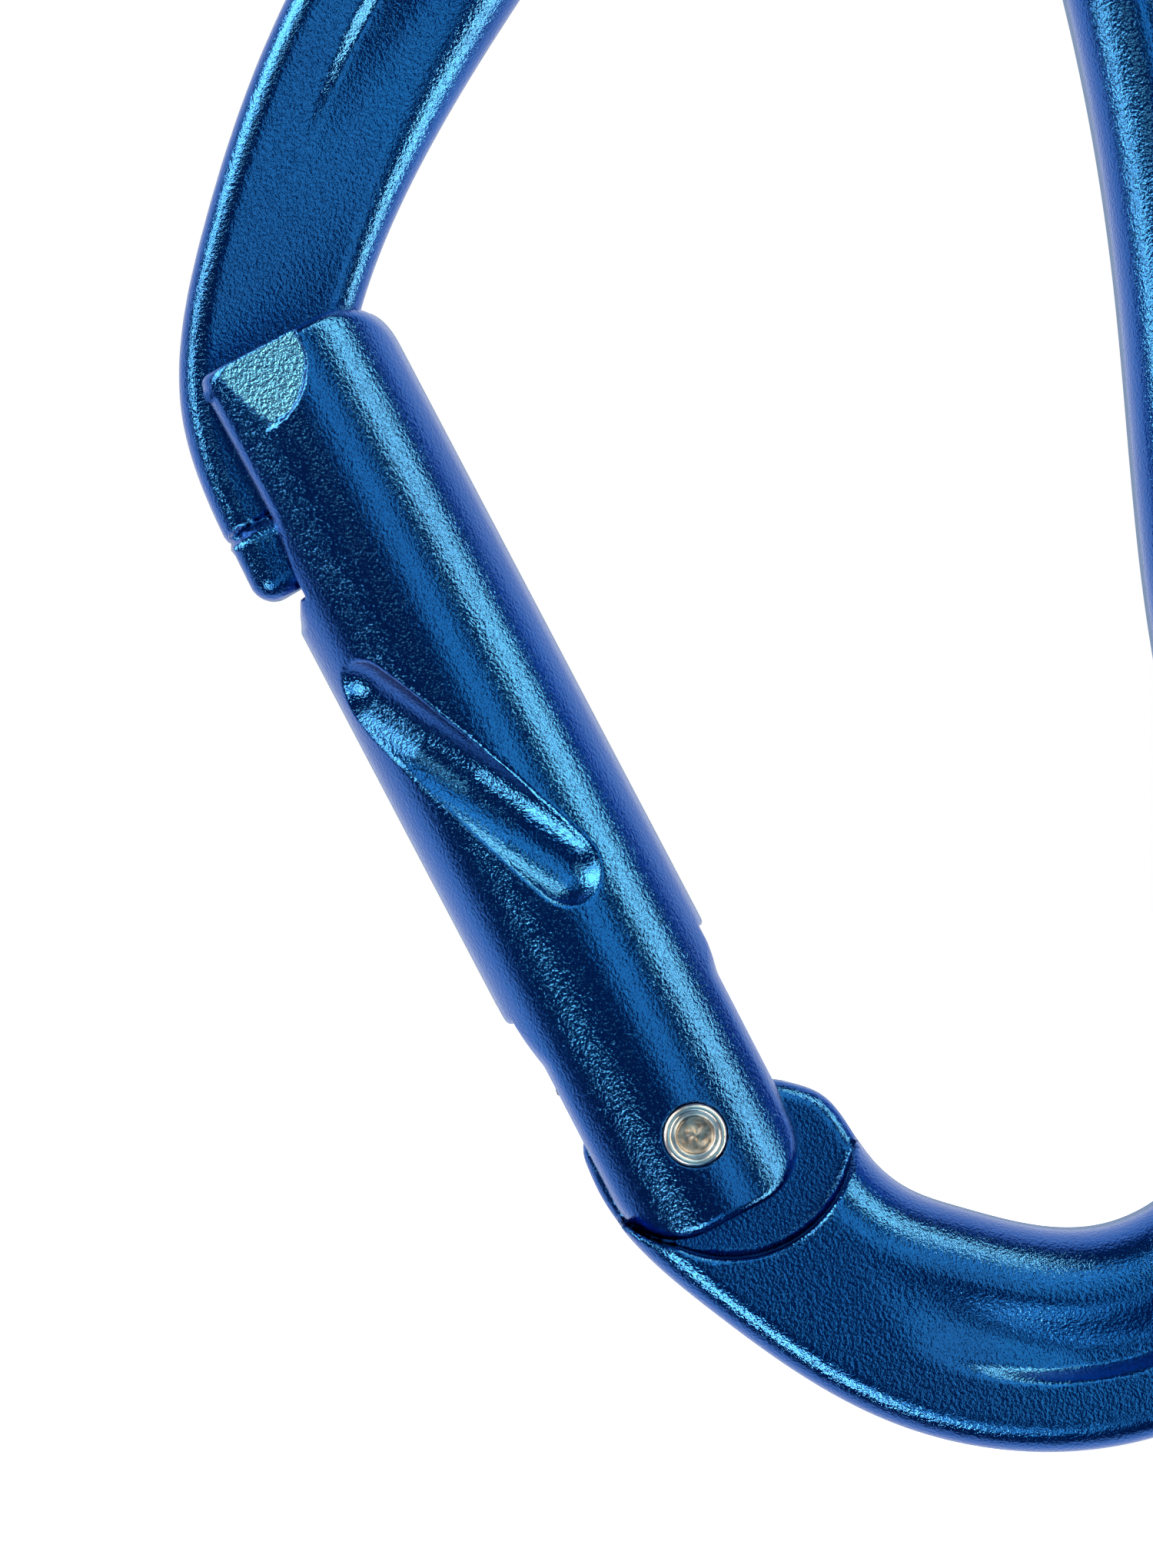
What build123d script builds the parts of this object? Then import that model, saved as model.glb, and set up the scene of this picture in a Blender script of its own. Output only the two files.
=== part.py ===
from build123d import *
import os
from math import asin, cos, radians, sin

# Asymmetric-D climbing carabiner with a solid, straight, keylock gate.
# Millimetres, +Z up along the spine, Y across the thickness, +X from the gate towards the spine.
# The origin is the inner bearing point of the top basket. Outline points are given from the
# hinge pin. Points beside the gate are given as up, along the gate, and across, towards the spine.

# Hinge and gate placement
hinge_x = -15.4
hinge_z = -63.8
gate_lean = 19.7

# Forged frame
frame_thickness = 9.6
edge_round = 3.2
channel_depth = 0.9
channel_inset = 3.25
channel_stations = 24
channel_nose_end = 0.09
channel_hinge_end = 0.89
spine_width = 9.1
nose_web = 2.9
knob_thickness = 5.2
knob_chamfer = 0.5
tang_thickness = 3.0
slope_low = 41.95
slope_high = 53.1
slope_clearance = 0.2
recess_radius = 5.85
recess_x = 1.6
recess_z = -0.1
hinge_sweep = 5.4
head_low = -0.5
head_high = 8
head_reach = 8

# Arcs about the hinge pin that bound the pocket in the gate, which the nose knob turns in
pocket_low = 29.9
pocket_high = 35.05

# Gate
gate_radius = 5.25
gate_top = 41.7
gate_bottom = -4.25
axis_offset = -0.2
nose_slot = 3.5
knob_slot = 6.0
fork_slot = 3.4
fork_slot_top = 8.4
spring_bore = 4.9
spring_bore_top = 22.0
facet_cutter = 3.0
facet_turn = 9.5
facet_tilt = 8.35
groove_radius = 2.2
groove_depth = 0.8
groove_high = 25.1
groove_low = 13.35
groove_left = -4.2
groove_right = 0.8

# Rivet
rivet_shank = 2.6
rivet_head = 3.0
rivet_clearance = 0.04
rivet_head_depth = 0.6
rivet_dish = 0.35

# Pusher and return spring
pusher_thickness = 2.6
pusher_foot = 2.95
pusher_shoulder = 6.2
pusher_left = -4.6
pusher_right = 3.6
pusher_stem = 2.2
pusher_stem_top = 11.5
spring_wire = 0.65
spring_outside = 4.3
spring_turns = 10

gate_place = Location((hinge_x, 0, hinge_z), (0, -gate_lean, 0))
lean_cos = cos(radians(gate_lean))
lean_sin = sin(radians(gate_lean))
far = 30


def from_pin(x, z):
    """A point of the frame's outline, given from the hinge pin."""
    return (hinge_x + x, 0, hinge_z + z)


def beside_gate(up, across):
    """A point given along and across the closed gate."""
    return from_pin(across * lean_cos - up * lean_sin, across * lean_sin + up * lean_cos)


def slab(face, thickness):
    """A face in the XZ plane, thickened evenly to both sides of the parting plane."""
    return extrude(face, amount=thickness / 2, dir=(0, 1, 0), both=True)


def block(low, high, left, right, thickness):
    """A block in the gate's own frame."""
    box = Box(right - left, thickness, high - low)
    return Pos((left + right) / 2, 0, (low + high) / 2) * box


def disc(radius, thickness):
    """A disc about the hinge pin's axis."""
    return Rot(90, 0, 0) * Cylinder(radius, thickness)


def upright(radius, low, high):
    """A round along the gate's centreline."""
    return Pos(axis_offset, 0, (low + high) / 2) * Cylinder(radius, high - low)


def keep_both_sides(tool):
    """A tool and its mirror image in the parting plane."""
    return tool + mirror(tool, Plane.XZ)


def frame_edges():
    """The forging's outer edge from nose to hinge, and its inner edge from hinge to nose."""
    outer_points = [
        beside_gate(32.6, -6.55),
        from_pin(-18.4, 32.4),
        from_pin(-19.0, 36.1),
        from_pin(-16.8, 44.8),
        from_pin(-11.4, 54.9),
        from_pin(-3.3, 64.4),
        from_pin(4.6, 71.0),
        from_pin(14.4, 73.6),
        from_pin(27.7, 67.6),
        from_pin(33.5, 54.0),
        from_pin(24.9 + spine_width, 36.0),
        from_pin(24.5 + spine_width, 18.0),
        from_pin(24.9 + spine_width, 0.0),
        from_pin(29.6, -11.4),
        from_pin(19.2, -16.9),
        from_pin(7.5, -14.7),
        from_pin(-0.4, -8.2),
        from_pin(-4.8, -2.1),
        beside_gate(1.57, -5.08),
    ]
    inner_points = [
        beside_gate(0.1, 4.9),
        from_pin(6.1, 0.95),
        from_pin(7.6, -1.6),
        from_pin(9.4, -3.9),
        from_pin(11.8, -5.2),
        from_pin(18.5, -6.9),
        from_pin(22.9, -4.6),
        from_pin(24.7, 1.0),
        from_pin(24.3, 20.0),
        from_pin(24.9, 36.0),
        from_pin(24.2, 52.0),
        from_pin(21.0, 61.1),
        from_pin(15.4, 63.8),
        from_pin(9.0, 62.0),
        from_pin(-0.7, 53.4),
        from_pin(-6.0, 46.9),
        beside_gate(41.3, 4.2),
        beside_gate(34.6, -1.0),
    ]
    return Spline(*outer_points), Spline(*inner_points)


def frame_outline(outer_edge, inner_edge):
    """The whole outline: both edges, the hinge head that joins them, and the nose end."""
    head_left = beside_gate(2.8, -4.2)
    head_right = beside_gate(2.8, 1.0)
    hinge_head = Polyline(outer_edge @ 1, head_left, head_right, inner_edge @ 0)
    knob_corner = beside_gate(31.2, -1.4)
    knob_tip = beside_gate(30.9, -5.6)
    nose_end = Polyline(inner_edge @ 1, knob_corner, knob_tip)
    nose_round = ThreePointArc(knob_tip, beside_gate(31.4, -6.45), outer_edge @ 0)
    return make_face(outer_edge + hinge_head + inner_edge + nose_end + nose_round)


def inset_edge(edge, first, last):
    """A smooth line inside the metal, beside an edge that has the metal on its right."""
    points = []
    for i in range(channel_stations + 1):
        place = first + (last - first) * i / channel_stations
        along = edge % place
        points.append(edge @ place + Vector(along.Z, 0, -along.X) * channel_inset)
    return Spline(*points)


def make_channel(outer_edge, inner_edge):
    """Lightening channel down both faces of the bow, spine and bottom."""
    outer_side = inset_edge(outer_edge, channel_nose_end, channel_hinge_end)
    inner_side = inset_edge(inner_edge, 1 - channel_hinge_end, 1 - channel_nose_end)
    hinge_end = Line(outer_side @ 1, inner_side @ 0)
    nose_end = Line(inner_side @ 1, outer_side @ 0)
    face = make_face(outer_side + hinge_end + inner_side + nose_end)
    return slab(face, frame_thickness) - slab(face, frame_thickness - 2 * channel_depth)


def knob_face():
    """Side view of the nose knob, beside the gate's axis."""
    corners = [
        (-6.4, 34.7, 0.8),
        (-1.1, 34.7, 0.8),
        (-1.4, 31.1, 0.8),
        (-6.5, 30.85, 1.1),
    ]
    points = [(across, 0, up) for across, up, radius in corners]
    radii = [radius for across, up, radius in corners]
    return make_face(FilletPolyline(*points, radius=radii, close=True))


def make_body():
    """Forged frame: thick bow and spine, thin nose web with its knob, and the hinge tang."""
    outer_edge, inner_edge = frame_edges()
    outline = frame_outline(outer_edge, inner_edge)
    nose_zone = gate_place * block(20, slope_low, -14, 8, far)
    recess_disc = Pos(hinge_x + recess_x, 0, hinge_z + recess_z) * disc(recess_radius, far)
    head_block = gate_place * block(head_low, head_high, -head_reach, head_reach, far)
    hinge_zone = recess_disc + gate_place * disc(hinge_sweep, far) + head_block

    bow_face = outline - nose_zone - hinge_zone
    bow = slab(bow_face, frame_thickness)
    rims = bow.edges().filter_by(lambda edge: edge.length > 100 and abs(edge.center().Y) > 1)
    bow = fillet(rims, edge_round)
    channel = make_channel(outer_edge, inner_edge)

    # on each face the bow thins towards the nose
    thin = (nose_web + slope_clearance) / 2
    thick = (frame_thickness + slope_clearance) / 2
    slope_line = Polyline(
        (0, thin, slope_low), (0, thick, slope_high), (0, far, slope_high), (0, far, slope_low), close=True
    )
    slope = extrude(make_face(slope_line), amount=10, dir=(1, 0, 0), both=True)
    slope = gate_place * Pos(5, 0, 0) * keep_both_sides(slope)

    web = slab(outline, nose_web) & (gate_place * block(32, slope_low + 2, -14, 10, far))
    knob = slab(gate_place * knob_face(), knob_thickness)
    knob_rims = knob.edges().filter_by(lambda edge: abs(edge.center().Y) > knob_thickness / 2 - 0.01)
    knob = chamfer(knob_rims, knob_chamfer)
    tang_disc = Pos(hinge_x + recess_x, 0, hinge_z + recess_z) * disc(recess_radius + 1, far)
    tang = slab(outline, tang_thickness) & (tang_disc + head_block)
    rivet_hole = gate_place * disc(rivet_shank / 2 + rivet_clearance, far)
    frame = bow - channel - slope
    frame = frame + tang - rivet_hole
    return frame + (web + knob)


def gate_profile():
    """Side view of the gate in its own frame: the end corners, side reliefs and nose opening."""
    corners = [
        (-4.15, gate_top, 0.5),
        (5.1, gate_top, 2.8),
        (5.1, 7.6, 1.0),
        (4.5, 6.2, 1.0),
        (4.4, gate_bottom, 3.0),
        (-4.9, gate_bottom, 3.2),
        (-4.8, 6.0, 1.0),
        (-5.7, 8.9, 1.0),
        (-5.7, 29.3, 0.1),
        (-5.3, 29.4, 0.3),
        (-4.15, 34.4, 1.5),
    ]
    points = [(across, 0, up) for across, up, radius in corners]
    radii = [radius for across, up, radius in corners]
    return make_face(FilletPolyline(*points, radius=radii, close=True))


def facet_cut():
    """Flat-ended round cutter that leaves the bright facet beside the nose slot."""
    turn = radians(facet_turn)
    tilt = radians(facet_tilt)
    outward = Vector(-sin(turn) * cos(tilt), -cos(turn) * cos(tilt), sin(tilt))
    left_edge = -3.3
    on_surface = Vector(axis_offset + left_edge, -gate_radius * cos(asin(left_edge / gate_radius)), gate_top)
    over_centre = Vector(-2.2, -gate_radius, 41.2)
    drop = (on_surface - over_centre).dot(outward)
    seat = Plane(origin=over_centre + outward * drop, z_dir=outward)
    return seat * Pos(0, 0, 5) * Cylinder(facet_cutter, 10)


def groove_centre(up, across):
    """Centre of the ball cutter that makes the thumb groove, over a point of the gate's front."""
    turn = asin((across - axis_offset) / gate_radius)
    reach = gate_radius + groove_radius - groove_depth
    return Vector(axis_offset + reach * sin(turn), -reach * cos(turn), up)


def groove_cut():
    """Thumb groove: a ball cutter's path across the front of the gate, in straight runs."""
    runs = 4
    turns = [groove_left + (groove_right - groove_left) * i / runs for i in range(runs + 1)]
    heights = [groove_high + (groove_low - groove_high) * i / runs for i in range(runs + 1)]
    centres = [groove_centre(up, across) for up, across in zip(heights, turns)]
    cut = Pos(centres[0]) * Sphere(groove_radius)
    for start, end in zip(centres, centres[1:]):
        run = end - start
        seat = Plane(origin=(start + end) * 0.5, z_dir=run)
        cut += seat * Cylinder(groove_radius, run.length)
        cut += Pos(end) * Sphere(groove_radius)
    return cut


def make_gate():
    """Solid round gate: nose slot and knob pocket, thumb grooves, hinge fork and spring bore."""
    bar = upright(gate_radius, gate_bottom, gate_top) & slab(gate_profile(), far)

    # the slot's inner wall lies just inside the nose web's inner edge
    wall = Polyline(
        (-9, 0, 33), (-0.7, 0, 33), (-0.7, 0, 34.6), (4.6, 0, 41.3), (5.6, 0, 43), (-9, 0, 43), close=True
    )
    slot = slab(make_face(wall), nose_slot)
    pocket = (disc(pocket_high, knob_slot) - disc(pocket_low, knob_slot)) & block(28, 36, -9, -1.0, far)
    fork = block(gate_bottom - 1, fork_slot_top, -7, 7, fork_slot)
    bore = upright(spring_bore / 2, 5.5, spring_bore_top)
    rivet_seat = disc(rivet_shank / 2, far) + keep_both_sides(
        Pos(0, -gate_radius, 0) * disc(rivet_head / 2, 2 * rivet_head_depth)
    )
    gate = bar - slot - pocket - fork - bore - rivet_seat
    return gate - keep_both_sides(facet_cut()) - keep_both_sides(groove_cut())


def make_rivet():
    """Stainless rivet, flush with the gate, with a dished end each side."""
    rivet = disc(rivet_shank / 2, 2 * gate_radius)
    head = Pos(0, -gate_radius + rivet_head_depth / 2, 0) * disc(rivet_head / 2, rivet_head_depth)
    dish = Pos(0, -gate_radius, 0) * disc(rivet_head * 0.31, 2 * rivet_dish)
    return rivet + keep_both_sides(head) - keep_both_sides(dish)


def make_pusher():
    """Stamped stainless pusher: a foot that rides on the tang, and a stem that guides the spring."""
    plate = block(pusher_foot, pusher_shoulder, pusher_left, pusher_right, pusher_thickness)
    corners = plate.edges().filter_by(Axis.Y)
    plate = fillet(corners, 0.5)
    return plate + upright(pusher_stem / 2, pusher_shoulder - 0.5, pusher_stem_top)


def make_spring():
    """Return spring: a coil from the pusher's shoulder to the end of the bore."""
    low = pusher_shoulder + spring_wire / 2 + 0.02
    high = spring_bore_top - spring_wire / 2 - 0.02
    coil_radius = (spring_outside - spring_wire) / 2
    path = Helix(pitch=(high - low) / spring_turns, height=high - low, radius=coil_radius)
    start = Plane(origin=path @ 0, z_dir=path % 0)
    coil = sweep(start * Circle(spring_wire / 2), path=path, is_frenet=True)
    return Pos(axis_offset, 0, low) * coil


parts = {
    "body": make_body(),
    "gate": gate_place * make_gate(),
    "hinge_rivet": gate_place * make_rivet(),
    "gate_spring": gate_place * make_spring(),
    "spring_pusher": gate_place * make_pusher(),
}

os.makedirs("parts", exist_ok=True)
for name, shape in parts.items():
    shape.label = name
    export_step(shape, f"parts/{name}.step")
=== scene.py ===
import math

import bpy
import numpy as np
from mathutils import Matrix, Vector


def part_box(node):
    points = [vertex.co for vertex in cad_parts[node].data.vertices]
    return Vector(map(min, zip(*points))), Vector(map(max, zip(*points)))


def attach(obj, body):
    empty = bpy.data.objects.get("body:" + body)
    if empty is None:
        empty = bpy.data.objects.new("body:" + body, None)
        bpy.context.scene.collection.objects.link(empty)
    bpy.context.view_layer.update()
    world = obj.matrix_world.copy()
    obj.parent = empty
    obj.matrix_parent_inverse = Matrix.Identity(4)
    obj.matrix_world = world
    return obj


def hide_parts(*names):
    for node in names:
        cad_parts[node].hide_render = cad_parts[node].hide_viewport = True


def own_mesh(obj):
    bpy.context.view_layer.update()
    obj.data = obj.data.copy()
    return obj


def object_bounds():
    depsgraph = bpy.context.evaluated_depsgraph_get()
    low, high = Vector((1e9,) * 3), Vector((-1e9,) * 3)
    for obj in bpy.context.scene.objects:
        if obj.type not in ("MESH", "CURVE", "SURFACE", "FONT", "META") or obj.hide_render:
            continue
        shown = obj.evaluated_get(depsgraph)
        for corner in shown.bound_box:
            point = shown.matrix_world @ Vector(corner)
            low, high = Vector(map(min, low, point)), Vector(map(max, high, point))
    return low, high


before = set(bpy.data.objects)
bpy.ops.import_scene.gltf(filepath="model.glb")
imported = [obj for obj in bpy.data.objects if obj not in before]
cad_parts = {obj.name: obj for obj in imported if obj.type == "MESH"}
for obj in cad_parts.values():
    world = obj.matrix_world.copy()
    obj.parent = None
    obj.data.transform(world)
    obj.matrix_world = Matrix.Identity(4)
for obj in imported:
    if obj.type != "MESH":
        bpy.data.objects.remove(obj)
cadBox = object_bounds()
print("frame loaded")

# Shapes are worked out in millimetres from the hinge pin: x towards the spine, y through the thickness
# (front is negative) and z up. Beside the gate, n runs across it towards the spine and t runs up along it.
mm = 0.001
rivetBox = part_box("hinge_rivet")
pin = (Vector(rivetBox[0]) + Vector(rivetBox[1])) / 2
gateLean = math.radians(19.7)
leanCos = math.cos(gateLean)
leanSin = math.sin(gateLean)


def besideGate(up, across):
    return (across * leanCos - up * leanSin, across * leanSin + up * leanCos)


def roundedMin(a, b, radius):
    # the shallower of two depths inside the metal, with their shared edge rounded
    corner = radius - np.hypot(np.maximum(radius - a, 0), np.maximum(radius - b, 0))
    low = np.minimum(a, b)
    return np.where(low < radius, corner, low)


def roundedMax(a, b, radius):
    return -roundedMin(-a, -b, radius)


def smoothStep(low, high, value):
    share = np.clip((value - low) / (high - low), 0, 1)
    return share * share * (3 - 2 * share)


def splineThrough(points, spacing=0.25):
    # a natural cubic through the points, sampled evenly, as rows of x and z
    points = np.array(points, float)
    gaps = np.linalg.norm(np.diff(points, axis=0), axis=1)
    count = len(points)
    system = np.eye(count)
    right = np.zeros((count, 2))
    for i in range(1, count - 1):
        system[i, i - 1] = gaps[i - 1]
        system[i, i] = 2 * (gaps[i - 1] + gaps[i])
        system[i, i + 1] = gaps[i]
        right[i] = 6 * ((points[i + 1] - points[i]) / gaps[i] - (points[i] - points[i - 1]) / gaps[i - 1])
    bend = np.linalg.solve(system, right)
    rows = []
    for i, gap in enumerate(gaps):
        steps = max(2, int(round(gap / spacing)))
        u = np.linspace(0, gap, steps, endpoint=False)[:, None]
        rise = (points[i + 1] - points[i]) / gap - gap * (2 * bend[i] + bend[i + 1]) / 6
        rows.append(points[i] + u * rise + u**2 * bend[i] / 2 + u**3 * (bend[i + 1] - bend[i]) / (6 * gap))
    rows.append(points[-1:])
    return np.vstack(rows)


def extended(line, reach=6.0):
    # a line carried straight on past both its ends
    first = line[0] - line[1]
    last = line[-1] - line[-2]
    start = line[0] + first / np.linalg.norm(first) * reach
    end = line[-1] + last / np.linalg.norm(last) * reach
    return np.vstack([start, line, end])


def sideDepth(line, x, z, block=16):
    # signed distance to a line that has the metal on its right, positive in the metal, and its direction
    points = np.stack([np.ravel(x), np.ravel(z)], axis=1)
    count = len(line) - 1
    coarse = line[::block]
    found = np.empty((len(points), 3))
    span = np.arange(-block, block)
    run = np.diff(line, axis=0)
    length2 = (run**2).sum(axis=1)
    for begin in range(0, len(points), 40000):
        some = points[begin:begin + 40000]
        apart = (coarse**2).sum(axis=1) - 2 * some @ coarse.T
        near = apart.argmin(axis=1) * block
        index = np.clip(near[:, None] + span[None, :], 0, count - 1)
        away = some[:, None, :] - line[index]
        share = np.clip((away * run[index]).sum(axis=2) / length2[index], 0, 1)
        gap = away - share[..., None] * run[index]
        best = (gap**2).sum(axis=2).argmin(axis=1)
        rows = np.arange(len(some))
        gap = gap[rows, best]
        along = run[index[rows, best]]
        side = np.where(along[:, 1] * away[rows, best, 0] - along[:, 0] * away[rows, best, 1] < 0, -1.0, 1.0)
        size = np.hypot(gap[:, 0], gap[:, 1])
        found[begin:begin + 40000, 0] = side * size
        found[begin:begin + 40000, 1:] = gap * (side / np.maximum(size, 1e-9))[:, None]
    return found.T.reshape((3,) + np.shape(x))


def filletedLoop(corners, spacing=0.2):
    # a closed outline with a radius at each corner, clockwise so that the metal is on its right
    places = np.array([corner[:2] for corner in corners], float)
    loop = []
    for i, (across, up, radius) in enumerate(corners):
        here = places[i]
        back = places[i - 1] - here
        ahead = places[(i + 1) % len(places)] - here
        back /= np.linalg.norm(back)
        ahead /= np.linalg.norm(ahead)
        half = math.acos(float(np.clip(back @ ahead, -1, 1))) / 2
        reach = radius / math.tan(half)
        centre = here + (back + ahead) / np.linalg.norm(back + ahead) * radius / math.sin(half)
        first = here + back * reach - centre
        last = here + ahead * reach - centre
        turn = math.atan2(first[0] * last[1] - first[1] * last[0], first @ last)
        steps = max(3, int(abs(turn) * radius / spacing) + 2)
        for angle in np.linspace(0, turn, steps):
            c, s = math.cos(angle), math.sin(angle)
            loop.append(centre + np.array([c * first[0] - s * first[1], s * first[0] + c * first[1]]))
    loop = np.array(loop + loop[:1])
    fine = []
    for a, b in zip(loop, loop[1:]):
        steps = max(1, int(np.linalg.norm(b - a) / spacing))
        fine.append(a + (b - a) * np.linspace(0, 1, steps, endpoint=False)[:, None])
    return np.vstack(fine + [loop[:1]])


def depthAndSlope(shape, points, reach=0.02):
    # depth inside the metal at each point, and its steepest way inwards
    x, y, z = points.T
    sides = [sideDepth(line, x, z) for line in shape["lines"]]
    depth = shape["depth"](x, y, z, *[side[0] for side in sides])
    slope = []
    for axis in range(3):
        ends = []
        for shift in (reach, -reach):
            moved = [x, y, z]
            moved[axis] = moved[axis] + shift
            near = [side[0] + shift * (side[1] if axis == 0 else side[2] if axis == 2 else 0) for side in sides]
            ends.append(shape["depth"](*moved, *near))
        slope.append((ends[0] - ends[1]) / (2 * reach))
    return depth, np.stack(slope, axis=1)


def skinOf(shape, passes=3):
    # closed skin of quads where the depth is zero: one point in each cell that the skin crosses
    step = shape["step"]
    axes = [np.arange(low, high + step, step) for low, high in zip(shape["low"], shape["high"])]
    x, z = np.meshgrid(axes[0], axes[2], indexing="ij")
    sides = [sideDepth(line, x, z)[0][:, None, :] for line in shape["lines"]]
    depth = shape["depth"](x[:, None, :], axes[1][None, :, None], z[:, None, :], *sides)
    inside = depth > 0
    cells = tuple(n - 1 for n in depth.shape)
    total = np.zeros(cells + (3,), np.float32)
    hits = np.zeros(cells, np.int16)
    crossings = []
    for axis in range(3):
        lowEnd = [slice(None)] * 3
        highEnd = [slice(None)] * 3
        lowEnd[axis] = slice(0, -1)
        highEnd[axis] = slice(1, None)
        a, b = depth[tuple(lowEnd)], depth[tuple(highEnd)]
        crossed = inside[tuple(lowEnd)] != inside[tuple(highEnd)]
        index = np.argwhere(crossed)
        place = index.astype(np.float32)
        place[:, axis] += a[crossed] / (a[crossed] - b[crossed])
        outward = inside[tuple(lowEnd)][crossed]
        others = [other for other in range(3) if other != axis]
        ring = []
        for i, j in ((0, 0), (-1, 0), (-1, -1), (0, -1)):
            cell = index.copy()
            cell[:, others[0]] += i
            cell[:, others[1]] += j
            cell = tuple(np.clip(cell, 0, np.array(cells) - 1).T)
            np.add.at(total, cell, place)
            np.add.at(hits, cell, 1)
            ring.append(cell)
        crossings.append((ring, outward if axis != 1 else ~outward))
    used = hits > 0
    number = np.full(cells, -1)
    number[used] = np.arange(used.sum())
    points = (total[used] / hits[used][:, None]).astype(float) * step + np.array([line[0] for line in axes])
    quads = []
    for ring, flip in crossings:
        ring = np.stack([number[cell] for cell in ring], axis=1)
        quads.append(np.where(flip[:, None], ring, ring[:, ::-1]))
    for _ in range(passes):
        depth, slope = depthAndSlope(shape, points)
        move = slope * (depth / np.maximum((slope**2).sum(axis=1), 0.2))[:, None]
        size = np.linalg.norm(move, axis=1)[:, None]
        points -= move * np.minimum(1, 0.5 * step / np.maximum(size, 1e-9))
    return points, np.vstack(quads)


def plainMesh(name, points, faces):
    mesh = bpy.data.meshes.new(name)
    mesh.from_pydata([tuple(p) for p in points], [], [tuple(int(i) for i in face) for face in faces])
    mesh.update()
    piece = bpy.data.objects.new(name, mesh)
    bpy.context.scene.collection.objects.link(piece)
    return piece


def thinned(piece, share):
    # fewer faces where the metal is nearly flat
    modifier = piece.modifiers.new("thin", "DECIMATE")
    modifier.ratio = share
    graph = bpy.context.evaluated_depsgraph_get()
    mesh = bpy.data.meshes.new_from_object(piece.evaluated_get(graph))
    piece.modifiers.clear()
    old = piece.data
    piece.data = mesh
    bpy.data.meshes.remove(old)
    mesh.name = piece.name


def forged(name, shape, toPart):
    points, quads = skinOf(shape)
    piece = plainMesh(name, points, quads)
    if shape["keep"] < 1:
        thinned(piece, shape["keep"])
    mesh = piece.data
    places = np.empty(len(mesh.vertices) * 3)
    mesh.vertices.foreach_get("co", places)
    places = places.reshape(-1, 3)
    normals = -depthAndSlope(shape, places, 0.05)[1]
    normals /= np.maximum(np.linalg.norm(normals, axis=1), 1e-9)[:, None]
    turn = np.array(toPart.to_3x3()) / mm
    moved = places @ turn.T * mm + np.array(toPart.translation)
    mesh.vertices.foreach_set("co", moved.astype(np.float32).ravel())
    mesh.polygons.foreach_set("use_smooth", [True] * len(mesh.polygons))
    mesh.update()
    mesh.normals_split_custom_set_from_vertices((normals @ turn.T).tolist())
    print(name, "has", len(mesh.polygons), "faces")
    return piece


pinPlace = Matrix.Translation(pin) @ Matrix.Scale(mm, 4)
gatePlace = Matrix.Translation(pin) @ Matrix.Rotation(-gateLean, 4, "Y") @ Matrix.Scale(mm, 4)

body = {
    "halfThickness": 4.8,
    "outerRound": 1.5,
    "innerRound": 3.2,
    "webHalf": 1.45,
    "tangHalf": 1.5,
    "channelDepth": 0.9,
    "channelInset": 3.1,
    "outerWall": 0.9,
    "innerWall": 2.6,
    "rampTurn": 18.0,
    "rampStart": 41.0,
    "rampSlope": 15.5,
    "rampEase": 1.0,
    "recessRadius": 5.85,
    "recessFoot": 0.35,
    "recessEdge": 0.25,
    "recessCentre": (1.6, -0.1),
    "sweep": 5.3,
    "knobHalf": 2.6,
    "knobRound": 1.15,
    "lineRadius": 34.85,
    "lineDepth": 0.2,
    "spineWidth": 9.1,
}
spine = body["spineWidth"]
outerLine = extended(splineThrough([
    besideGate(32.6, -6.55), (-18.4, 32.4), (-19.0, 36.1), (-16.8, 44.8), (-11.4, 54.9), (-3.3, 64.4),
    (4.6, 71.0), (14.4, 73.6), (27.7, 67.6), (33.5, 54.0), (24.9 + spine, 36.0), (24.5 + spine, 18.0),
    (24.9 + spine, 0.0), (29.6, -11.4), (19.2, -16.9), (7.5, -14.7), (-0.4, -8.2), (-4.8, -2.1),
    besideGate(1.57, -5.08),
]))
innerLine = extended(splineThrough([
    besideGate(0.1, 4.9), (6.1, 0.95), (7.6, -1.6), (9.4, -3.9), (11.8, -5.2), (18.5, -6.9), (22.9, -4.6),
    (24.7, 1.0), (24.3, 20.0), (24.9, 36.0), (24.2, 52.0), (21.0, 61.1), (15.4, 63.8), (9.0, 62.0),
    (-0.7, 53.4), (-6.0, 46.9), besideGate(41.3, 4.2), besideGate(34.6, -1.0),
]))
knobLine = filletedLoop([
    (*besideGate(34.7, -6.4), 0.4), (*besideGate(34.7, -1.1), 0.6), (*besideGate(31.1, -1.4), 0.8),
    (*besideGate(30.85, -6.5), 1.1),
])


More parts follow.
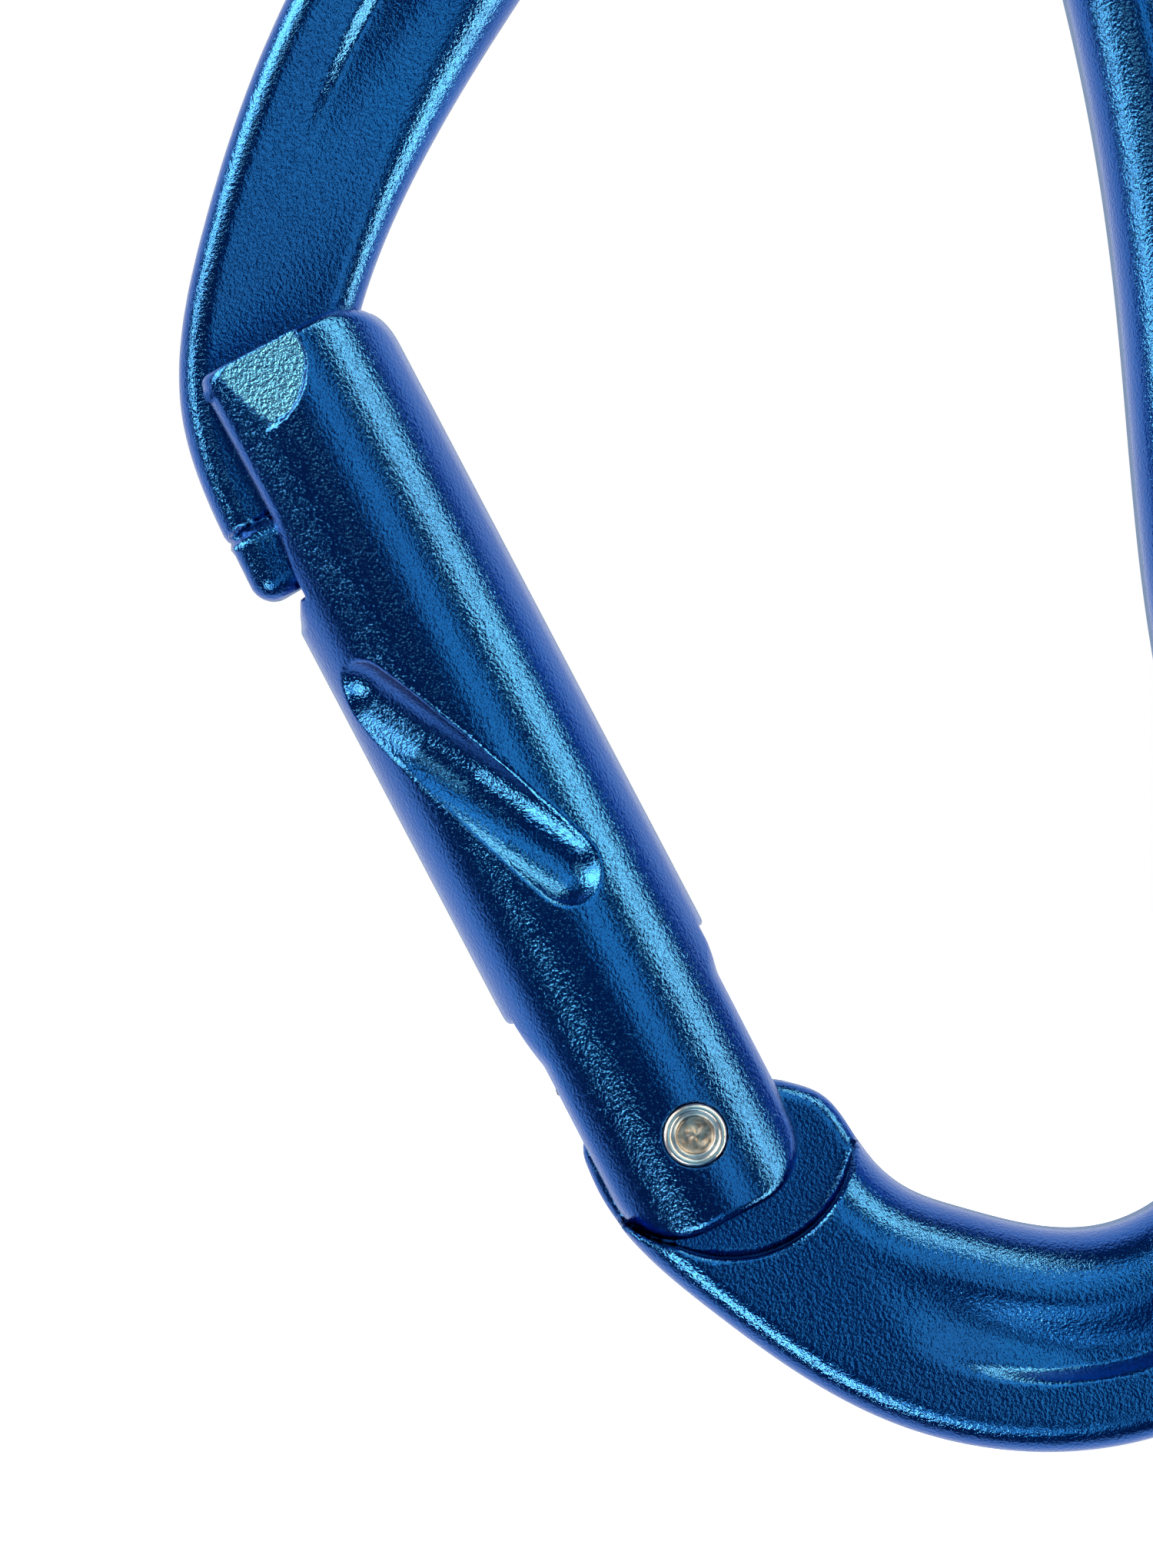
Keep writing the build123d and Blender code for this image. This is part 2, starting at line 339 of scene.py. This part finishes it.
def bodyDepth(x, y, z, outer, inner, knobSide):
    across = x * leanCos + z * leanSin
    up = z * leanCos - x * leanSin
    fromPin = np.hypot(x, z)
    proud = np.abs(y)

    # the channel fades in over its ends
    wallOut = smoothStep(0, body["outerWall"], outer - body["channelInset"])
    wallIn = smoothStep(0, body["innerWall"], inner - body["channelInset"])
    noseFade = smoothStep(47.0, 55.0, up) * (0.5 + 0.5 * smoothStep(53, 61, up))
    hingeFade = smoothStep(8.5, 16.5, x + 0.4 * (z + 12))
    fade = np.where(x < 5, np.where(z > 10, noseFade, hingeFade), np.where(z < 0, hingeFade, 1.0))
    height = body["halfThickness"]

    # the face falls to the thin web before the gate's end
    turn = math.radians(body["rampTurn"])
    aside = (across + 16 - np.hypot(across - 16, 4)) / 2  # levels out where the bow turns over the top
    along = up * math.cos(turn) - aside * math.sin(turn)
    rise = (along - body["rampStart"]) * math.tan(math.radians(body["rampSlope"]))
    ease = body["rampEase"]
    ramp = body["webHalf"] + (rise + np.sqrt(rise**2 + ease**2 * 0.25)) / 2
    ramp = np.where((x < 12) & (z > 10), ramp + 6 * smoothStep(0, 12, x), 99.0)
    both = height - ramp
    height = (height + ramp - np.sqrt(both**2 + ease**2 * 0.4)) / 2
    height = height - body["channelDepth"] * wallOut * wallIn * fade

    bow = roundedMin(outer, (height - proud) * 0.96, np.minimum(body["outerRound"], 0.97 * height))
    bow = roundedMin(bow, inner, np.minimum(body["innerRound"], 0.97 * height))
    bow = roundedMin(bow, np.where((z > 10) & (x < 12), up - 33.7, 99.0), 0.3)
    recess = np.hypot(x - body["recessCentre"][0], z - body["recessCentre"][1]) - body["recessRadius"]
    tangEnd = 1.0 - recess
    hinge = np.minimum(recess, fromPin - body["sweep"])
    headBlock = np.maximum(-0.5 - up, np.maximum(np.abs(across) - 8, up - 30))
    hinge = np.minimum(hinge, headBlock)
    bow = roundedMin(bow, hinge, body["recessEdge"])

    knob = roundedMin(knobSide, body["knobHalf"] - proud, body["knobRound"])

    head = np.minimum(2.8 - up, (4.95 - across) * 0.575 - (up - 0.1) * 0.818)
    head = np.minimum(head, (across + 5.08) * 0.813 - (up - 1.57) * 0.581)
    tang = np.minimum(np.minimum(outer, inner), head)
    tang = roundedMin(tang, body["tangHalf"] - proud, 0.8)
    tang = np.minimum(tang, tangEnd)
    tang = np.minimum(tang, fromPin - 1.34)

    foot = np.clip(np.minimum(fromPin - 5.3, np.minimum(outer, inner) * 0.5), 0.04, body["recessFoot"])
    metal = roundedMax(bow, tang, foot)
    metal = roundedMax(metal, knob, 0.1)
    line = np.hypot(np.where((z > 10) & (x < -5) & (across < -1), fromPin - body["lineRadius"], 9.0), metal)
    return np.minimum(metal, line - body["lineDepth"])


frameShape = {
    "lines": [outerLine, innerLine, knobLine],
    "depth": bodyDepth,
    "low": (-20.2, -5.2, -18.0),
    "high": (35.0, 5.2, 74.7),
    "step": 0.26,
    "keep": 0.8,
}
frameBody = forged("forged_frame", frameShape, pinPlace)
print("frame made")

gate = {
    "radius": 5.25,
    "axis": -0.2,
    "edge": 0.5,
    "noseSlot": 1.75,
    "knobSlot": 3.0,
    "pocket": (29.9, 35.05),
    "forkSlot": 1.7,
    "forkTop": 8.4,
    "boreRadius": 2.45,
    "bore": (5.5, 22.0),
    "rivetSeat": 1.5,
    "facetRadius": 3.0,
    "facetTurn": 9.5,
    "facetTilt": 8.35,
    "grooveRadius": 2.4,
    "grooveDepth": 0.9,
    "grooveEnds": ((24.9, -4.0), (13.8, 0.45)),
}
gateLoop = filletedLoop([
    (-4.15, 41.7, 0.5), (5.1, 41.7, 2.8), (5.1, 7.6, 1.0), (4.5, 6.2, 1.0), (4.4, -4.25, 3.0), (-4.9, -4.25, 3.2),
    (-4.8, 6.0, 1.0), (-5.7, 8.9, 1.0), (-5.7, 29.3, 0.1), (-5.3, 29.4, 0.3), (-4.15, 34.4, 1.5),
])
slotLoop = filletedLoop([
    (-9, 43, 0.1), (5.6, 43, 0.1), (4.6, 41.3, 0.3), (-0.7, 34.6, 0.3), (-0.7, 33, 0.3), (-9, 33, 0.1),
])
facetOut = Matrix.Rotation(math.radians(-gate["facetTurn"]), 3, "Z") @ Vector(
    (0, -math.cos(math.radians(gate["facetTilt"])), math.sin(math.radians(gate["facetTilt"])))
)
facetSeat = Vector((-3.5, -gate["radius"] * math.cos(math.asin(3.3 / gate["radius"])), 41.7))
facetCentre = Vector((-2.2, -gate["radius"], 41.2))


def grooveCentres(runs=4):
    # the ball cutter's path over the front of the gate
    (high, left), (low, right) = gate["grooveEnds"]
    reach = gate["radius"] + gate["grooveRadius"] - gate["grooveDepth"]
    centres = []
    for i in range(runs + 1):
        turn = math.asin((left + (right - left) * i / runs - gate["axis"]) / gate["radius"])
        centres.append(np.array([
            gate["axis"] + reach * math.sin(turn), -reach * math.cos(turn), high + (low - high) * i / runs,
        ]))
    return centres


def gateDepth(n, y, t, side, slotSide):
    proud = np.abs(y)
    front = -proud
    bar = gate["radius"] - np.hypot(n - gate["axis"], y)
    metal = roundedMin(bar, side, gate["edge"])
    fromPin = np.hypot(n, t)
    slot = np.minimum(gate["noseSlot"] - proud, slotSide)
    metal = roundedMin(metal, -slot, 0.2)
    low, high = gate["pocket"]
    low = low + np.clip(1.5 * (n + 5.3), -0.1, 0.9)
    pocket = np.minimum(np.minimum(gate["knobSlot"] - proud, -1.0 - n), np.minimum(fromPin - low, high - fromPin))
    pocket = np.minimum(pocket, t - 20)
    metal = roundedMin(metal, -pocket, 0.2)
    fork = np.minimum(gate["forkSlot"] - proud, gate["forkTop"] - t)
    metal = roundedMin(metal, -fork, 0.3)
    bore = np.minimum(gate["boreRadius"] - np.hypot(n - gate["axis"], y), gate["bore"][1] - t)
    metal = np.minimum(metal, -np.minimum(bore, t - gate["bore"][0]))
    metal = roundedMin(metal, fromPin - gate["rivetSeat"], 0.08)
    away = [n - facetCentre.x, front - facetCentre.y, t - facetCentre.z]
    over = away[0] * facetOut.x + away[1] * facetOut.y + away[2] * facetOut.z
    drop = (facetSeat - facetCentre).dot(facetOut)
    aside = np.sqrt(np.maximum(away[0]**2 + away[1]**2 + away[2]**2 - over**2, 1e-9))
    metal = roundedMin(metal, -np.minimum(over - drop, gate["facetRadius"] - aside), 0.12)
    groove = np.full(np.shape(metal), -9.0)
    centres = grooveCentres()
    for start, end in zip(centres, centres[1:]):
        run = end - start
        share = ((n - start[0]) * run[0] + (front - start[1]) * run[1] + (t - start[2]) * run[2]) / (run @ run)
        share = np.clip(share, 0, 1)
        gap = np.sqrt(
            (n - start[0] - share * run[0])**2 + (front - start[1] - share * run[1])**2
            + (t - start[2] - share * run[2])**2
        )
        groove = np.maximum(groove, gate["grooveRadius"] - gap)
    return roundedMin(metal, -groove, 0.14)


gateShape = {
    "lines": [gateLoop, slotLoop],
    "depth": gateDepth,
    "low": (-6.0, -5.5, -4.6),
    "high": (5.5, 5.5, 42.1),
    "step": 0.16,
    "keep": 0.9,
}
gateBar = forged("gate_bar", gateShape, gatePlace)
print("gate made")

rivet = {
    "length": 10.5,
    "shank": 1.3,
    "head": 1.46,
    "headDepth": 0.6,
    "sides": 96,
    "roughness": 0.05,
    "seed": 7,
}


def revolved(name, profile, sides, toPart, lump=None):
    # a profile of radius and height turned about the pin's axis, closed at both poles
    rings = []
    angles = np.linspace(0, 2 * math.pi, sides, endpoint=False)
    points = []
    for radius, height in profile:
        if radius < 1e-6:
            rings.append([len(points)])
            points.append((0.0, height, 0.0))
            continue
        rings.append(list(range(len(points), len(points) + sides)))
        points += [(radius * math.cos(a), height, radius * math.sin(a)) for a in angles]
    faces = []
    for one, two in zip(rings, rings[1:]):
        for i in range(sides):
            j = (i + 1) % sides
            if len(one) == 1:
                faces.append((one[0], two[i], two[j]))
            elif len(two) == 1:
                faces.append((one[i], two[0], one[j]))
            else:
                faces.append((one[i], two[i], two[j], one[j]))
    points = np.array(points)
    if lump is not None:
        points = lump(points)
    piece = plainMesh(name, points, faces)
    piece.data.transform(toPart)
    piece.data.polygons.foreach_set("use_smooth", [True] * len(faces))
    piece.data.update()
    return piece


def rivetEnd(front):
    # radius and depth below the end face, from the dished middle to the head's rim
    rows = [(0, 0.3), (0.12, 0.3), (0.25, 0.29), (0.38, 0.3), (0.5, 0.29), (0.62, 0.28), (0.74, 0.27),
            (0.84, 0.26), (0.88, 0.2), (0.91, 0.13), (0.95, 0.1), (0.99, 0.12), (1.02, 0.18), (1.05, 0.19),
            (1.08, 0.12), (1.12, 0.06), (1.18, 0.02), (1.26, 0.0), (1.34, 0.01), (1.41, 0.05), (1.45, 0.1),
            (1.47, 0.18), (1.47, 0.6), (1.3, 0.62)]
    half = rivet["length"] / 2
    return [(radius, front * (half - depth)) for radius, depth in rows]


def dishLumps(points):
    # the peened middle of each end is left uneven
    random = np.random.default_rng(rivet["seed"])
    radius = np.hypot(points[:, 0], points[:, 2])
    dish = np.clip((0.84 - radius) / 0.15, 0, 1)
    angle = np.arctan2(points[:, 2], points[:, 0])
    height = np.zeros(len(points))
    for _ in range(14):
        spin = random.integers(0, 5)
        height += random.normal() * np.cos(spin * angle + random.uniform(0, 6.3)) * np.cos(
            radius * random.uniform(3, 12) + random.uniform(0, 6.3)
        )
    moved = points.copy()
    moved[:, 1] += np.sign(points[:, 1]) * dish * height * rivet["roughness"] * 0.4
    return moved


profile = rivetEnd(-1) + rivetEnd(1)[::-1]
rivetPin = revolved("rivet_pin", profile, rivet["sides"], gatePlace, dishLumps)
print("rivet made")

spring = {
    "wire": 0.65,
    "outside": 4.3,
    "turns": 10,
    "low": 6.545,
    "high": 21.655,
    "wireSides": 12,
    "turnSteps": 40,
}


def geometryTree(name, inputs):
    # an empty tree with named inputs, and a note of each input's identifier
    tree = bpy.data.node_groups.new(name, "GeometryNodeTree")
    tree.interface.new_socket("Geometry", in_out="OUTPUT", socket_type="NodeSocketGeometry")
    found = {}
    for label, kind in inputs:
        found[label] = tree.interface.new_socket(label, in_out="INPUT", socket_type=kind).identifier
    return tree, found


def coilTree():
    kinds = [("Coil radius", "NodeSocketFloat"), ("Wire radius", "NodeSocketFloat"), ("Height", "NodeSocketFloat"),
             ("Turns", "NodeSocketFloat"), ("Steps in a turn", "NodeSocketInt"), ("Wire sides", "NodeSocketInt"),
             ("Wire finish", "NodeSocketMaterial")]
    tree, found = geometryTree("coilSpring", kinds)
    nodes, link = tree.nodes, tree.links.new
    source = nodes.new("NodeGroupInput")
    spiral = nodes.new("GeometryNodeCurveSpiral")
    wire = nodes.new("GeometryNodeCurvePrimitiveCircle")
    sweep = nodes.new("GeometryNodeCurveToMesh")
    realize = nodes.new("GeometryNodeRealizeInstances")
    finish = nodes.new("GeometryNodeSetMaterial")
    target = nodes.new("NodeGroupOutput")
    sweep.inputs["Fill Caps"].default_value = True
    link(source.outputs["Steps in a turn"], spiral.inputs["Resolution"])
    link(source.outputs["Turns"], spiral.inputs["Rotations"])
    link(source.outputs["Coil radius"], spiral.inputs["Start Radius"])
    link(source.outputs["Coil radius"], spiral.inputs["End Radius"])
    link(source.outputs["Height"], spiral.inputs["Height"])
    link(source.outputs["Wire sides"], wire.inputs["Resolution"])
    link(source.outputs["Wire radius"], wire.inputs["Radius"])
    link(spiral.outputs["Curve"], sweep.inputs["Curve"])
    link(wire.outputs["Curve"], sweep.inputs["Profile Curve"])
    link(sweep.outputs["Mesh"], realize.inputs["Geometry"])
    link(realize.outputs["Geometry"], finish.inputs["Geometry"])
    link(source.outputs["Wire finish"], finish.inputs["Material"])
    link(finish.outputs["Geometry"], target.inputs["Geometry"])
    return tree, found


def fromTree(name, tree, found, values):
    # runs a tree on an empty object and keeps its result as a plain mesh
    piece = bpy.data.objects.new(name, bpy.data.meshes.new(name))
    bpy.context.scene.collection.objects.link(piece)
    modifier = piece.modifiers.new("tree", "NODES")
    modifier.node_group = tree
    for label, value in values.items():
        modifier[found[label]] = value
    graph = bpy.context.evaluated_depsgraph_get()
    mesh = bpy.data.meshes.new_from_object(piece.evaluated_get(graph))
    piece.modifiers.clear()
    old = piece.data
    piece.data = mesh
    bpy.data.meshes.remove(old)
    mesh.name = name
    return piece


def newMaterial(name):
    material = bpy.data.materials.new(name)
    material.use_nodes = True
    nodes = material.node_tree.nodes
    shader = nodes["Principled BSDF"]
    return material, nodes, material.node_tree.links.new, shader


def noiseNode(nodes, link, place, scale, detail, roughness=0.5):
    noise = nodes.new("ShaderNodeTexNoise")
    noise.inputs["Scale"].default_value = scale
    noise.inputs["Detail"].default_value = detail
    noise.inputs["Roughness"].default_value = roughness
    link(place, noise.inputs["Vector"])
    return noise


def bumpNode(nodes, link, height, distance, strength=1.0, before=None):
    bump = nodes.new("ShaderNodeBump")
    bump.inputs["Distance"].default_value = distance
    bump.inputs["Strength"].default_value = strength
    link(height, bump.inputs["Height"])
    if before is not None:
        link(before, bump.inputs["Normal"])
    return bump.outputs["Normal"]


def rampNode(nodes, link, factor, stops):
    ramp = nodes.new("ShaderNodeValToRGB")
    while len(ramp.color_ramp.elements) < len(stops):
        ramp.color_ramp.elements.new(0.5)
    for element, (place, colour) in zip(ramp.color_ramp.elements, stops):
        element.position = place
        element.color = (*colour, 1)
    link(factor, ramp.inputs["Fac"])
    return ramp.outputs["Color"]


def anodised(name, look):
    # bead-blasted aluminium under a dyed oxide skin
    material, nodes, link, shader = newMaterial(name)
    place = nodes.new("ShaderNodeTexCoord").outputs["Object"]
    grain = noiseNode(nodes, link, place, look["grainScale"], 2, 0.6)
    patch = noiseNode(nodes, link, place, look["patchScale"], 3)
    colour = rampNode(nodes, link, patch.outputs["Fac"], [(0.3, look["deep"]), (0.7, look["bright"])])
    link(colour, shader.inputs["Base Color"])
    spread = nodes.new("ShaderNodeMapRange")
    link(grain.outputs["Fac"], spread.inputs["Value"])
    spread.inputs["To Min"].default_value = look["roughness"] - 0.04
    spread.inputs["To Max"].default_value = look["roughness"] + 0.05
    link(spread.outputs["Result"], shader.inputs["Roughness"])
    fine = bumpNode(nodes, link, grain.outputs["Fac"], look["grainHeight"])
    link(fine, shader.inputs["Normal"])
    shader.inputs["Metallic"].default_value = 1.0
    shader.inputs["Coat Weight"].default_value = look["coat"]
    shader.inputs["Coat Roughness"].default_value = look["coatRoughness"]
    shader.inputs["Coat IOR"].default_value = 1.5
    link(fine, shader.inputs["Coat Normal"])
    return material


frameLook = {
    "grainScale": 6000,
    "grainHeight": 0.000038,
    "patchScale": 90,
    "deep": (0.002, 0.105, 0.38),
    "bright": (0.003, 0.135, 0.45),
    "roughness": 0.14,
    "coat": 0.6,
    "coatRoughness": 0.12,
}
gateLook = dict(frameLook, patchScale=70, grainHeight=0.000036)
# the facets' lighter blue is a painted highlight, not a colour of their own
facetHighlightLook = dict(
    frameLook, grainHeight=0.00006, roughness=0.2, deep=(0.03, 0.24, 0.55), bright=(0.08, 0.36, 0.7), coat=1.0
)
frameBlue = anodised("anodised_blue_frame", frameLook)
gateBlue = anodised("anodised_blue_gate", gateLook)
facetHighlightBlue = anodised("anodised_blue_facet_painted_highlight", facetHighlightLook)


def steel(name, look):
    material, nodes, link, shader = newMaterial(name)
    place = nodes.new("ShaderNodeTexCoord").outputs["Object"]
    grain = noiseNode(nodes, link, place, look["grainScale"], 4, 0.6)
    stain = noiseNode(nodes, link, place, look["stainScale"], 4, 0.6)
    colour = rampNode(nodes, link, stain.outputs["Fac"], look["stops"])
    link(colour, shader.inputs["Base Color"])
    spread = nodes.new("ShaderNodeMapRange")
    link(stain.outputs["Fac"], spread.inputs["Value"])
    spread.inputs["To Min"].default_value = look["roughness"]
    spread.inputs["To Max"].default_value = look["roughness"] + 0.12
    link(spread.outputs["Result"], shader.inputs["Roughness"])
    link(bumpNode(nodes, link, grain.outputs["Fac"], look["grainHeight"]), shader.inputs["Normal"])
    shader.inputs["Metallic"].default_value = 1.0
    return material


rivetSteel = steel("rivet_steel", {
    "grainScale": 2600, "grainHeight": 0.00001, "stainScale": 1400, "roughness": 0.26,
    "stops": [(0.3, (0.55, 0.58, 0.64)), (0.6, (0.80, 0.86, 0.95))],
})
peenedSteel = steel("peened_steel", {
    "grainScale": 3200, "grainHeight": 0.00003, "stainScale": 2600, "roughness": 0.42,
    "stops": [(0.35, (0.21, 0.19, 0.18)), (0.6, (0.46, 0.46, 0.47))],
})
springSteel = steel("spring_steel", {
    "grainScale": 5200, "grainHeight": 0.00001, "stainScale": 700, "roughness": 0.24,
    "stops": [(0.3, (0.42, 0.41, 0.39)), (0.7, (0.60, 0.59, 0.57))],
})
pusherSteel = steel("pusher_steel", {
    "grainScale": 4200, "grainHeight": 0.00001, "stainScale": 500, "roughness": 0.28,
    "stops": [(0.3, (0.52, 0.51, 0.49)), (0.7, (0.68, 0.67, 0.65))],
})

tree, found = coilTree()
springCoil = fromTree("return_spring", tree, found, {
    "Coil radius": (spring["outside"] - spring["wire"]) / 2,
    "Wire radius": spring["wire"] / 2,
    "Height": spring["high"] - spring["low"],
    "Turns": float(spring["turns"]),
    "Steps in a turn": spring["turnSteps"],
    "Wire sides": spring["wireSides"],
    "Wire finish": springSteel,
})
springCoil.data.transform(gatePlace @ Matrix.Translation((gate["axis"], 0, spring["low"])))
springCoil.data.polygons.foreach_set("use_smooth", [True] * len(springCoil.data.polygons))
springCoil.data.update()
print("spring made")

pusher = {
    "half": 1.3,
    "foot": 2.95,
    "shoulder": 6.2,
    "left": -4.6,
    "right": 3.6,
    "stem": 1.1,
    "stemTop": 11.5,
    "edge": 0.25,
}
pusherLoop = filletedLoop([
    (pusher["left"], pusher["shoulder"], 0.5), (pusher["right"], pusher["shoulder"], 0.5),
    (pusher["right"], pusher["foot"], 0.5), (pusher["left"], pusher["foot"], 0.5),
])


def pusherDepth(n, y, t, side):
    plate = roundedMin(side, pusher["half"] - np.abs(y), pusher["edge"])
    stem = np.minimum(pusher["stem"] - np.hypot(n - gate["axis"], y), t - pusher["foot"] - 1)
    stem = roundedMin(stem, pusher["stemTop"] - t, 0.4)
    return roundedMax(plate, stem, 0.2)


pusherShape = {
    "lines": [pusherLoop],
    "depth": pusherDepth,
    "low": (-4.9, -1.6, 2.6),
    "high": (3.9, 1.6, 11.9),
    "step": 0.1,
    "keep": 0.5,
}
pusherPlate = forged("pusher_plate", pusherShape, gatePlace)
print("pusher made")


def finished(piece, material, body, node):
    piece.data.materials.clear()
    piece.data.materials.append(material)
    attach(piece, body)
    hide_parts(node)


finished(frameBody, frameBlue, "frame", "body")
finished(gateBar, gateBlue, "gate", "gate")
# the two facets get a lighter, more coated blue than the rest of the gate, a painted highlight, and a coarser grain
gateBar.data.materials.append(facetHighlightBlue)
turn, tilt = math.radians(gate["facetTurn"]), math.radians(gate["facetTilt"])
facing = Vector((-math.sin(turn) * math.cos(tilt), math.cos(turn) * math.cos(tilt), math.sin(tilt)))
toGate = gatePlace.to_3x3().normalized().inverted()
# faces turned the facets' way take the painted highlight blue
for face in gateBar.data.polygons:
    look = toGate @ face.normal
    look.y = abs(look.y)
    high = (gatePlace.inverted() @ face.center).z > 35
    face.material_index = 1 if high and look.dot(facing) > 0.9992 else 0
finished(rivetPin, rivetSteel, "gate", "hinge_rivet")
# the peened middle of each end is duller than the head's rim
rivetPin.data.materials.append(peenedSteel)
inPin = gatePlace.inverted()
for face in rivetPin.data.polygons:
    place = inPin @ face.center
    face.material_index = 1 if math.hypot(place.x, place.z) < 0.86 else 0
finished(springCoil, springSteel, "gate", "gate_spring")
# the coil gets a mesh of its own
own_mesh(springCoil)
finished(pusherPlate, pusherSteel, "pusher", "spring_pusher")

shot = {"aim": (-0.01857, 0.0, -0.04696), "distance": 0.6, "height": 0.07312, "roll": 8.0}
aim = Vector(shot["aim"])
roll = math.radians(shot["roll"])
shotRight = Vector((math.cos(roll), 0, -math.sin(roll)))
shotUp = Vector((math.sin(roll), 0, math.cos(roll)))
camera = bpy.data.objects.new("camera", bpy.data.cameras.new("camera"))
bpy.context.scene.collection.objects.link(camera)
camera.data.sensor_width = 36
camera.data.lens = 36 * shot["distance"] / shot["height"]
camera.matrix_world = Matrix.Translation(aim + Vector((0, -shot["distance"], 0))) @ Matrix(
    (shotRight, shotUp, Vector((0, -1, 0)))
).transposed().to_4x4()
bpy.context.scene.camera = camera

# each light: clock angle from the right, angle off the lens axis, distance, width round, depth, louvres,
# brightness, colour
lights = {
    "keyRight": (18, 65, 0.42, 0.28, 0.12, 3, 13.5, (1.0, 0.72, 0.40)),
    "keyUpperRight": (58, 61, 0.42, 0.26, 0.12, 3, 14.0, (1.0, 0.72, 0.40)),
    "keyLowerRight": (-26, 76, 0.42, 0.26, 0.14, 3, 18.0, (1.0, 0.76, 0.44)),
    "keyUpperLeft": (152, 62, 0.42, 0.22, 0.28, 5, 17.0, (1.0, 0.82, 0.56)),
    "keyLeft": (183, 70, 0.42, 0.12, 0.08, 2, 22.0, (1.0, 0.80, 0.52)),
    "keyBelow": (-120, 54, 0.42, 0.20, 0.11, 3, 25.0, (1.0, 0.80, 0.52)),
    "facetCard": (158, 27, 0.5, 0.10, 0.05, 1, 8.0, (1.0, 0.78, 0.46)),
    "softFront": (20, 18, 0.5, 0.66, 0.19, 1, 1.05, (0.5, 0.9, 0.85)),
    "softBelow": (-92, 44, 0.5, 0.20, 0.20, 1, 1.4, (0.5, 0.9, 0.9)),
    "softAbove": (92, 40, 0.5, 0.22, 0.16, 1, 1.3, (0.5, 0.9, 0.9)),
}


def towards(clock, off):
    clock, off = math.radians(clock), math.radians(off)
    side = shotRight * math.cos(clock) + shotUp * math.sin(clock)
    return side * math.sin(off) - Vector((0, math.cos(off), 0))


def addLight(name, clock, off, distance, width, depth, louvres, brightness, colour):
    # a louvred light shows half its depth as bright slots
    step = math.degrees(depth / louvres / distance)
    for i in range(louvres):
        data = bpy.data.lights.new(f"{name}{i}", "AREA")
        data.shape = "RECTANGLE"
        data.size = width
        data.size_y = depth / louvres * (0.5 if louvres > 1 else 1)
        data.energy = brightness * math.pi * data.size * data.size_y
        data.color = colour
        light = bpy.data.objects.new(f"{name}{i}", data)
        bpy.context.scene.collection.objects.link(light)
        angle = off + (i - (louvres - 1) / 2) * step
        out = towards(clock, angle)
        radial = towards(clock, angle + 90)
        light.matrix_world = Matrix.Translation(aim + out * distance) @ Matrix(
            (out.cross(-radial), -radial, out)
        ).transposed().to_4x4()
        light.visible_camera = False


for name, row in lights.items():
    addLight(name, *row)

room = {"behind": (0.72, 0.78, 1.0), "farBack": (0.2, 0.3, 0.42), "front": (0.01, 0.05, 0.12), "backdrop": (1, 1, 1)}
world = bpy.data.worlds.new("studio")
world.use_nodes = True
bpy.context.scene.world = world
nodes, link = world.node_tree.nodes, world.node_tree.links.new
shade = nodes["Background"]
direction = nodes.new("ShaderNodeTexCoord")
parts = nodes.new("ShaderNodeSeparateXYZ")
link(direction.outputs["Generated"], parts.inputs["Vector"])
level = nodes.new("ShaderNodeMapRange")
level.inputs["From Min"].default_value = -1
level.inputs["From Max"].default_value = 1
link(parts.outputs["Y"], level.inputs["Value"])
roomColour = rampNode(nodes, link, level.outputs["Result"], [
    (0.5, room["front"]), (0.62, room["behind"]), (0.985, room["behind"]), (0.997, room["farBack"]),
])
backdrop = nodes.new("ShaderNodeBackground")
backdrop.inputs["Color"].default_value = (*room["backdrop"], 1)
rays = nodes.new("ShaderNodeLightPath")
mix = nodes.new("ShaderNodeMixShader")
link(roomColour, shade.inputs["Color"])
link(rays.outputs["Is Camera Ray"], mix.inputs["Fac"])
link(shade.outputs["Background"], mix.inputs[1])
link(backdrop.outputs["Background"], mix.inputs[2])
link(mix.outputs["Shader"], nodes["World Output"].inputs["Surface"])
bpy.context.scene.view_settings.view_transform = "Standard"
bpy.context.scene.view_settings.look = "None"

lowest = cadBox[0].z
floor = plainMesh("floor", [
    (1.5 * math.cos(a), 1.5 * math.sin(a), lowest - 0.0001) for a in np.linspace(0, 2 * math.pi, 96, endpoint=False)
], [tuple(range(96))])
paper, nodes, link, shader = newMaterial("pale_floor")
shader.inputs["Base Color"].default_value = (0.9, 0.9, 0.9, 1)
shader.inputs["Roughness"].default_value = 0.9
shader.inputs["Emission Color"].default_value = (1, 1, 1, 1)
shader.inputs["Emission Strength"].default_value = 1.0
floor.data.materials.append(paper)
floor.visible_glossy = False
print("studio made")
